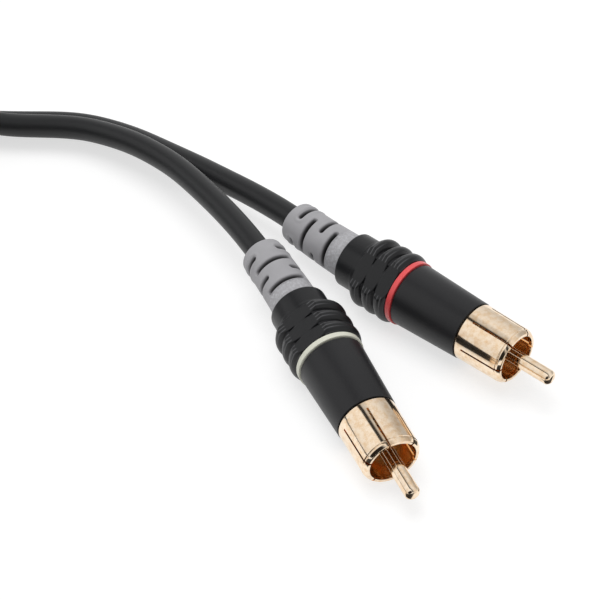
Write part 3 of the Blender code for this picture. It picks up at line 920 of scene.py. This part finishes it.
# Boot
# The strain relief: soft grey PVC moulded on the cord, with pairs of slots that let it bend. The
# rows alternate by a quarter turn.
BOOT_FLANGE_FRONT = -9.2
BOOT_FLANGE_REAR = -10.4
BOOT_REAR = -31.1
BOOT_FRONT_RADIUS = 4.7
BOOT_REAR_RADIUS = 4.3
BOOT_BORE = 2.6
SLOT_ROWS = [-19.2, -22.2, -25.2, -28.2]
SLOT_HALF_WIDTH = 0.5
SLOT_HALF_ARC = 58
SLOT_DEPTH = 1.5
SLOT_WALL = 0.24
ROLL_WIDTH = 0.6
ROLL_DEPTH = 0.22
SWELL_WIDTH = 0.6
SWELL_HEIGHT = 0.13
# The painted shade down the slots starts this far below the surface and is full over the next.
SHADE_FROM = 0.3
SHADE_DEEPENS_OVER = 0.5
BEND_START = -15.0
boot_pvc = plastic("boot PVC", (0.39, 0.385, 0.4), 0.55, 3600, 260, 0.06, 0.006, 0.35)
tree = boot_pvc.node_tree
shader = tree.nodes["Principled BSDF"]
surface = shader.inputs["Base Color"].links[0].from_socket
# Scuffs whiten the band that the nut's collar rubs.
unrolled = add_node(tree, "ShaderNodeTexCoord").outputs["UV"]
station = add_node(tree, "ShaderNodeSeparateXYZ", {"Vector": unrolled}).outputs["Y"]
behind = ranged(tree, station, -18.7, -18.2)
before = ranged(tree, station, -14.9, -15.6)
band = reckoned(tree, "MULTIPLY", behind, before)
scuffs = ranged(tree, noise(tree, unrolled, 1.6, 4.0, 0.7), 0.45, 0.68, to_high=0.6)
scuffed = reckoned(tree, "MULTIPLY", band, scuffs)
paler = mixed(tree, scuffed, surface, (0.66, 0.67, 0.7, 1))
# Down in the slots the wall is painted darker the deeper it lies. This is painted shade, and it
# also stands in for the dark cord that shows through the slots.
slot_shade = add_node(tree, "ShaderNodeAttribute", attribute_name="slot_shade").outputs["Fac"]
set_inputs(shader, {"Base Color": mixed(tree, slot_shade, paler, (0.03, 0.028, 0.028, 1))})


def boot_radius(station):
    """The boot's outer radius between its slots."""
    share = (NUT_REAR - station) / (NUT_REAR - BOOT_REAR)
    return BOOT_FRONT_RADIUS + (BOOT_REAR_RADIUS - BOOT_FRONT_RADIUS) * share


def boot_depth(stations, turns, slot_turn, radius):
    """How far the slots go in at each place, with rolled edges and round ends."""
    depth = np.zeros(np.broadcast(stations, turns).shape)
    for row, middle in enumerate(SLOT_ROWS):
        off = np.abs((turns - slot_turn - 90 * row + 90) % 180 - 90)
        along = np.maximum((off - SLOT_HALF_ARC) * math.pi / 180 * radius + SLOT_HALF_WIDTH, 0)
        away = np.hypot(along, stations - middle)
        wall = np.clip((SLOT_HALF_WIDTH + 0.1 - away) / SLOT_WALL, 0, 1)
        depth = np.maximum(depth, SLOT_DEPTH * wall * wall * (3 - 2 * wall))
        rolled = np.clip((SLOT_HALF_WIDTH + 0.55 - away) / ROLL_WIDTH, 0, 1)
        depth = np.maximum(depth, ROLL_DEPTH * rolled * rolled * (stations < middle))
        swell = np.clip(1 - np.abs(away - SLOT_HALF_WIDTH - SWELL_WIDTH) / SWELL_WIDTH, 0, 1)
        depth = depth - SWELL_HEIGHT * swell * swell * (3 - 2 * swell)
    return depth


for plug, place in plug_places.items():
    spans = [np.linspace(-14.8, -18.4, 10)]
    for middle in SLOT_ROWS:
        spans.append(middle - np.linspace(-0.95, 0.95, 34))
        spans.append(middle - np.linspace(1.05, 1.95, 5))
    spans[-1] = np.linspace(-29.2, BOOT_REAR + 0.95, 6)
    stations = np.concatenate(spans)
    side = np.stack([boot_radius(stations), stations], axis=1)
    front = filleted(
        [
            (BOOT_BORE, BOOT_FLANGE_FRONT, 0),
            (5.2, BOOT_FLANGE_FRONT, 0.1),
            (5.2, BOOT_FLANGE_REAR, 0.1),
            (BOOT_FRONT_RADIUS, BOOT_FLANGE_REAR, 0),
        ]
    )
    rear = filleted(
        [
            (BOOT_REAR_RADIUS, BOOT_REAR + 1.8, 0),
            (BOOT_REAR_RADIUS, BOOT_REAR, 0.55),
            (BOOT_BORE, BOOT_REAR, 0.25),
            (BOOT_BORE, BOOT_REAR + 3, 0),
        ],
        steps=7,
    )[1:]
    bore = np.array([(BOOT_BORE, station) for station in (-25.0, -22.0, -19.0, -16.0, -13.0)])
    outline = np.concatenate([front, side, rear, bore])
    slotted = slice(len(front), len(front) + len(side))

    def boot_shape(radii, stations, turns, slotted=slotted, slot_turn=SLOT_TURNS[plug]):
        shaped = radii.copy()
        shaped[slotted] -= boot_depth(stations[slotted], turns, slot_turn, 4.5)
        return shaped

    straight = Matrix.Identity(4)
    mesh = turned_mesh(f"{plug}_strain_relief", outline, 200, straight, boot_shape, angle=60)
    # How deep each point lies down a slot, which the boot material paints as shade.
    painted_slot_shade = mesh.attributes.new("slot_shade", "FLOAT", "POINT")
    for vertex in mesh.vertices:
        station = vertex.co.z / MM
        radius = math.hypot(vertex.co.x, vertex.co.y) / MM
        among_slots = SLOT_ROWS[-1] - 1 < station < SLOT_ROWS[0] + 1
        depth = (boot_radius(station) - radius - SHADE_FROM) / SHADE_DEEPENS_OVER
        painted_slot_shade.data[vertex.index].value = among_slots * min(max(depth, 0), 1)
    reach = BEND_START - BOOT_REAR
    for vertex in mesh.vertices:
        back = BEND_START - vertex.co.z / MM
        if back > 0:
            turn = 2 * BENDS[plug] * back / reach**2
            sideways = vertex.co.y
            vertex.co.y = BENDS[plug] * (back / reach) ** 2 * MM + sideways * math.cos(turn)
            vertex.co.z += sideways * math.sin(turn)
    mesh.transform(place)
    relief = new_piece(f"{plug}_strain_relief", mesh, boot_pvc)
    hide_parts(f"{plug}_boot")

# Chuck and cord end
# Both sit inside the nut and the boot, and keep their plain solids: a split nylon clamp, and
# the end of the jacket that it holds.
chuck_nylon = plastic("chuck nylon", (0.7, 0.7, 0.66), 0.45, 3000, 200, 0.05, 0.004)
for plug in plug_places:
    for node, material in ((f"{plug}_chuck", chuck_nylon), (f"{plug}_cable_end", cord_pvc)):
        mesh = frame["nodes"][node].data
        mesh.materials.clear()
        mesh.materials.append(material)

# Strap
# A woven nylon strap, 8 mm wide, round the coil's turns. Its tail laps over its outer side, where
# the hooks underneath hold it in the band's own soft loops.
STRAP_HALF_WIDTH = 4.0
STRAP_HALF_THICKNESS = 0.45
STRAP_INNER_SIDE = 17.3
STRAP_OUTER_SIDE = 34.25
STRAP_TOP = 22.9
STRAP_BOTTOM = 1.0
STRAP_CORNER = 1.65
STRAP_STEP = 0.4
STRAP_EDGE = 0.35
TO_MIDDLE = 0.5  # from the coil's face to the band's middle line, where it lies in one layer
BAND_START = -5.2  # these three are heights from the middle of the coil's side
LAP_START = -8.2
LAP_END = 5.4
TAIL_ROUNDING = 1.4
TAIL_NARROWS_BY = 0.3


def strap_line():
    """The band's middle line, as (out from the coil's centre, up), from its start to its tail."""
    left, right = STRAP_INNER_SIDE - TO_MIDDLE, STRAP_OUTER_SIDE + TO_MIDDLE
    low, high = STRAP_BOTTOM - TO_MIDDLE, STRAP_TOP + TO_MIDDLE
    middle = (low + high) / 2
    line = [(right, middle + BAND_START)]
    for quarter, (u, v) in enumerate(((right, high), (left, high), (left, low), (right, low))):
        sign_u, sign_v = (-1 if u == right else 1), (-1 if v == high else 1)
        centre = (u + sign_u * STRAP_CORNER, v + sign_v * STRAP_CORNER)
        for number in range(9):
            turn = math.radians(90 * (quarter + number / 8))
            out, up = STRAP_CORNER * math.cos(turn), STRAP_CORNER * math.sin(turn)
            line.append((centre[0] + out, centre[1] + up))
    line.append((right, middle + LAP_START))
    line.append((right + 0.5, middle + LAP_START + 1.3))
    line.append((right + 1, middle + LAP_START + 2.6))
    line.append((right + 1, middle + LAP_END))
    line = np.array(line)
    runs = np.concatenate([[0], np.cumsum(np.linalg.norm(np.diff(line, axis=0), axis=1))])
    stations = np.linspace(0, runs[-1], round(runs[-1] / STRAP_STEP) + 1)
    return np.stack([np.interp(stations, runs, line[:, axis]) for axis in range(2)], axis=1)


def band_mesh(name):
    line = strap_line()
    ways = unit(np.gradient(line, axis=0))
    out = np.stack([ways[:, 1], -ways[:, 0]], axis=1)
    wide, thick = STRAP_HALF_WIDTH, STRAP_HALF_THICKNESS
    face = np.linspace(-wide + STRAP_EDGE, wide - STRAP_EDGE, 14)
    half_across = np.array([*face, wide - 0.1, wide, wide - 0.1])
    half_offset = np.array([*[thick] * 14, thick * 0.7, 0, -thick * 0.7])
    across = np.concatenate([half_across, -half_across])
    offset = np.concatenate([half_offset, -half_offset])
    tail = np.arange(len(line))[::-1] * STRAP_STEP
    narrowed = 1 - TAIL_NARROWS_BY * np.clip(1 - tail / TAIL_ROUNDING, 0, 1) ** 2
    points = np.stack(
        [
            COIL_CENTRE[0] + line[:, :1] + out[:, :1] * offset,
            COIL_CENTRE[1] + narrowed[:, None] * across,
            line[:, 1:] + out[:, 1:] * offset,
        ],
        axis=2,
    )
    columns = len(half_across)
    mesh = grid_mesh(
        name, points, uvs=lambda row, column: (column % columns * 0.5, row * STRAP_STEP)
    )
    close_up(mesh)
    mesh.shade_smooth()
    return mesh


pile, pile_in, pile_out = new_tree(
    "loops on a strap",
    "GeometryNodeTree",
    [
        ("Geometry", "Geometry", None),
        ("Density", "Float", 3.0e6),
        ("Lowest", "Float", 0.0009),
        ("Loop Radius", "Float", 0.00016),
        ("Fibre Radius", "Float", 0.000022),
        ("Seed", "Int", 7),
        ("Material", "Material", None),
    ],
    [("Geometry", "Geometry")],
)
given = pile_in.outputs
position = add_node(pile, "GeometryNodeInputPosition").outputs[0]
height = add_node(pile, "ShaderNodeSeparateXYZ", {0: position}).outputs["Z"]
above = add_node(
    pile,
    "FunctionNodeCompare",
    {0: height, 1: given["Lowest"]},
    data_type="FLOAT",
    operation="GREATER_THAN",
)
sown = add_node(
    pile,
    "GeometryNodeDistributePointsOnFaces",
    {
        "Mesh": given["Geometry"],
        "Selection": above.outputs[0],
        "Density": given["Density"],
        "Seed": given["Seed"],
    },
)
arc = add_node(
    pile,
    "GeometryNodeCurveArc",
    {"Resolution": 5, "Sweep Angle": math.radians(200), "Radius": given["Loop Radius"]},
)
fibre = add_node(
    pile, "GeometryNodeCurvePrimitiveCircle", {"Resolution": 3, "Radius": given["Fibre Radius"]}
)
loop_mesh = add_node(
    pile,
    "GeometryNodeCurveToMesh",
    {"Curve": arc.outputs["Curve"], "Profile Curve": fibre.outputs["Curve"]},
)
stood = add_node(
    pile,
    "GeometryNodeTransform",
    {"Geometry": loop_mesh.outputs["Mesh"], "Rotation": (math.pi / 2, 0, 0)},
)
spin = add_node(
    pile, "FunctionNodeRandomValue", {3: 2 * math.pi, "Seed": given["Seed"]}, data_type="FLOAT"
)
spun = add_node(
    pile, "FunctionNodeAxisAngleToRotation", {"Axis": (0, 0, 1), "Angle": spin.outputs[1]}
)
turned = add_node(
    pile,
    "FunctionNodeRotateRotation",
    {"Rotation": sown.outputs["Rotation"], "Rotate By": spun.outputs[0]},
    rotation_space="LOCAL",
)
loops = add_node(
    pile,
    "GeometryNodeInstanceOnPoints",
    {
        "Points": sown.outputs["Points"],
        "Instance": stood.outputs["Geometry"],
        "Rotation": turned.outputs[0],
    },
)
both = add_node(pile, "GeometryNodeJoinGeometry", {"Geometry": loops.outputs["Instances"]})
set_inputs(both, {"Geometry": given["Geometry"]})
real = add_node(pile, "GeometryNodeRealizeInstances", {"Geometry": both.outputs["Geometry"]})
finished = add_node(
    pile,
    "GeometryNodeSetMaterial",
    {"Geometry": real.outputs["Geometry"], "Material": given["Material"]},
)
set_inputs(pile_out, {"Geometry": finished.outputs["Geometry"]})

strap_nylon = plastic("strap nylon", (0.022, 0.022, 0.024), 0.75, 3000, 400, 0.1, 0.02, 0.3)
tree = strap_nylon.node_tree
shader = tree.nodes["Principled BSDF"]
threads = add_node(
    tree,
    "ShaderNodeTexWave",
    {
        "Vector": add_node(tree, "ShaderNodeTexCoord").outputs["UV"],
        "Scale": 0.9,
        "Distortion": 0.4,
    },
    bands_direction="Y",
)
relief = add_node(
    tree,
    "ShaderNodeBump",
    {
        "Height": threads.outputs["Fac"],
        "Strength": 0.6,
        "Distance": 0.05 * MM,
        "Normal": shader.inputs["Normal"].links[0].from_socket,
    },
)
set_inputs(shader, {"Normal": relief.outputs["Normal"]})
mesh = grown("tie_strap", band_mesh("band"), pile, {"Seed": 7, "Material": strap_nylon})
strap = new_piece("tie_strap", mesh, strap_nylon)
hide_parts("strap")


# Floor and light
# The table is a wide white sweep. One soft panel hangs over it, and the white room round it
# fills the shadows.
floor_mesh = bpy.data.meshes.new("floor")
floor_shape = bmesh.new()
bmesh.ops.create_grid(floor_shape, x_segments=1, y_segments=1, size=3)
floor_shape.to_mesh(floor_mesh)
floor_shape.free()
floor = new_object("floor", floor_mesh)
floor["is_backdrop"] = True


def rays_that_show(tree):
    """1 for the rays that show the background, also in metal, and 1 for the glossy ones alone."""
    rays = add_node(tree, "ShaderNodeLightPath").outputs
    seen = reckoned(tree, "MAXIMUM", rays["Is Camera Ray"], rays["Is Glossy Ray"])
    return reckoned(tree, "MAXIMUM", seen, rays["Is Transmission Ray"]), rays["Is Glossy Ray"]


white_sweep, tree, shader = new_material("white sweep")
seen, _ = rays_that_show(tree)
set_inputs(
    shader,
    {
        "Roughness": 0.9,
        "Specular IOR Level": 0.1,
        "Base Color": mixed(tree, seen, (0.8, 0.8, 0.8, 1), (0.42, 0.42, 0.42, 1)),
        "Emission Color": (1, 1, 1, 1),
        "Emission Strength": reckoned(tree, "MULTIPLY", seen, 0.66),
    },
)
floor_mesh.materials.append(white_sweep)

# The studio round the table is white. In the metal its panels show in several tones, with a dark
# seam between two of them overhead and an unlit side of the room.
UNLIT = (0.02, 0.018, 0.016, 1)
world = bpy.data.worlds.new("studio")
bpy.context.scene.world = world
world.use_nodes = True
tree = world.node_tree
seen, glossy = rays_that_show(tree)
way = add_node(tree, "ShaderNodeTexCoord").outputs["Generated"]


def facing(towards):
    """How far each way from the table agrees with a direction."""
    node = add_node(tree, "ShaderNodeVectorMath", {0: way, 1: towards}, operation="DOT_PRODUCT")
    return node.outputs["Value"]


strength = ranged(tree, seen, 0, 1, to_low=0.55)
spread = ranged(tree, facing((0.808, 0.548, 0.213)), -1, 1)
panels = add_node(tree, "ShaderNodeValToRGB", {"Fac": spread})
tones = panels.color_ramp
for at, tone in (
    (0.0, 0.8),
    (0.2, 0.95),
    (0.445, 1.0),
    (0.46, 0.035),
    (0.525, 0.035),
    (0.55, 0.6),
    (0.625, 0.68),
    (0.7, 0.92),
    (0.875, 0.8),
    (0.975, 0.5),
):
    stop = tones.elements[0] if at == 0 else tones.elements.new(at)
    stop.color = (tone, tone, tone, 1)
tones.elements.remove(tones.elements[-1])
unlit_side = ranged(tree, facing((-0.25, -0.93, 0.27)), 0.8, 0.9)
reflected = mixed(tree, unlit_side, panels.outputs["Color"], UNLIT)
set_inputs(
    tree.nodes["Background"],
    {"Color": mixed(tree, glossy, (1, 1, 1, 1), reflected), "Strength": strength},
)

# Black cards lie in front of the noses, so that the cut ends and lips of the contacts turn dark.
card_mesh = bpy.data.meshes.new("black_card")
before_white = [(-60, -38), (-60, -300), (8, -300), (8, -41), (3, -38)]
before_red = [(14, -16), (14, -36), (39, -36), (39, -8), (34, -9)]
card_mesh.from_pydata(
    [(x * MM, y * MM, 0.3 * MM) for x, y in before_white + before_red], [], [range(5), range(5, 10)]
)
card = new_object("black_card", card_mesh)
card.visible_camera = False
card.visible_diffuse = False
card.visible_shadow = False
card_black, _, shader = new_material("card black")
set_inputs(shader, {"Base Color": UNLIT})
card_mesh.materials.append(card_black)
card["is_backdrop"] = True

panel_data = bpy.data.lights.new("overhead panel", "AREA")
panel_data.shape = "RECTANGLE"
panel_data.size = 0.6
panel_data.size_y = 0.5
panel_data.energy = 2.6
panel = new_object("overhead panel", panel_data)
panel.visible_glossy = False
panel.location = (-0.15, 0.1, 0.7)
panel.rotation_euler = (Vector((0, 0, 0)) - panel.location).to_track_quat("-Z", "Y").to_euler()

bpy.context.scene.view_settings.view_transform = "Standard"

low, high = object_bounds()
